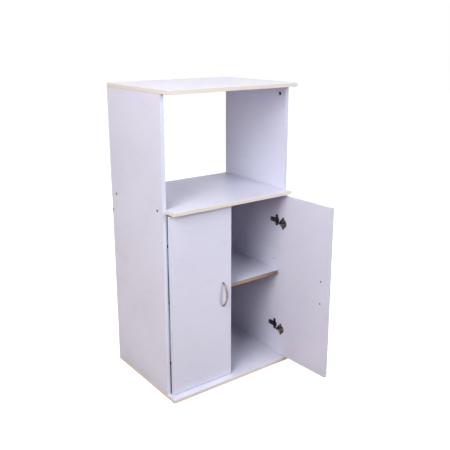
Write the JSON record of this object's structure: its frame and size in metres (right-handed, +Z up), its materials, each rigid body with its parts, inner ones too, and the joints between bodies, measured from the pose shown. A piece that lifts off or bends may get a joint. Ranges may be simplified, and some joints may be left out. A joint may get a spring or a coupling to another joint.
{
  "type": "microwave cart",
  "caption": "Tall white board kitchen cart: an open appliance bay over a cupboard with hinged doors, bow handles and an inner shelf on pins.",
  "frame": {"origin": "centre of the base board's underside, on the floor", "axes": "+Z up, -Y to the front, where the doors are, +X to the right seen from the front"},
  "size_m": [0.6217, 0.6842, 1.2],
  "materials": {
    "white_board": "white melamine-faced chipboard, fine satin texture",
    "cream_edging": "cream edge band, 2 mm, rounded",
    "white_edging": "white edge band, 1 mm",
    "tan_edging": "tan edge band, 1 mm",
    "hardboard": "thin fibreboard, white on the inside",
    "beech": "fluted beech dowels",
    "satin_nickel": "satin nickel plate",
    "hinge_nickel": "nickel-plated pressed steel",
    "zinc_casting": "grey zinc casting",
    "plated_steel": "zinc-plated steel",
    "nail_steel": "bright steel nails"
  },
  "bodies": {
    "carcass": {"back_nails": "nail_steel", "back_panel": "hardboard", "base_edge_bands": "cream_edging", "base_panel": "white_board", "base_screws": "plated_steel", "cam_bolts": "plated_steel", "cam_locks": "zinc_casting", "inner_shelf": "white_board", "inner_shelf_band": "tan_edging", "left_arm_screws": "plated_steel", "left_lower_hinge_arm": "hinge_nickel", "left_lower_hinge_plate": "hinge_nickel", "left_plate_screws": "plated_steel", "left_side_band": "white_edging", "left_side_panel": "white_board", "left_side_screws": "plated_steel", "left_upper_hinge_arm": "hinge_nickel", "left_upper_hinge_plate": "hinge_nickel", "middle_shelf": "white_board", "middle_shelf_bands": "cream_edging", "rear_rail": "white_board", "right_arm_screws": "plated_steel", "right_lower_hinge_arm": "hinge_nickel", "right_lower_hinge_plate": "hinge_nickel", "right_plate_screws": "plated_steel", "right_side_band": "white_edging", "right_side_panel": "white_board", "right_side_screws": "plated_steel", "right_upper_hinge_arm": "hinge_nickel", "right_upper_hinge_plate": "hinge_nickel", "shelf_pins": "plated_steel", "top_dowels": "beech", "top_edge_bands": "cream_edging", "top_panel": "white_board"},
    "left_door": {"left_door_panel": "white_board", "left_door_bands": "white_edging", "left_handle": "satin_nickel", "left_handle_screws": "plated_steel", "left_cup_screws": "plated_steel", "left_upper_hinge_cup": "hinge_nickel", "left_upper_hinge_pin": "hinge_nickel", "left_lower_hinge_cup": "hinge_nickel", "left_lower_hinge_pin": "hinge_nickel"},
    "right_door": {"right_door_panel": "white_board", "right_door_bands": "white_edging", "right_handle": "satin_nickel", "right_handle_screws": "plated_steel", "right_cup_screws": "plated_steel", "right_upper_hinge_cup": "hinge_nickel", "right_upper_hinge_pin": "hinge_nickel", "right_lower_hinge_cup": "hinge_nickel", "right_lower_hinge_pin": "hinge_nickel"}
  },
  "joints": [
    {"name": "left_door_hinge", "type": "hinge", "parent": "carcass", "child": "left_door", "pos_m": [-0.2725, -0.185, 0.3805], "axis": [0, 0, 1], "range_deg": [-110, 0]},
    {"name": "right_door_hinge", "type": "hinge", "parent": "carcass", "child": "right_door", "pos_m": [0.2725, -0.185, 0.3805], "axis": [0, 0, 1], "range_deg": [-93, 17]}
  ]
}
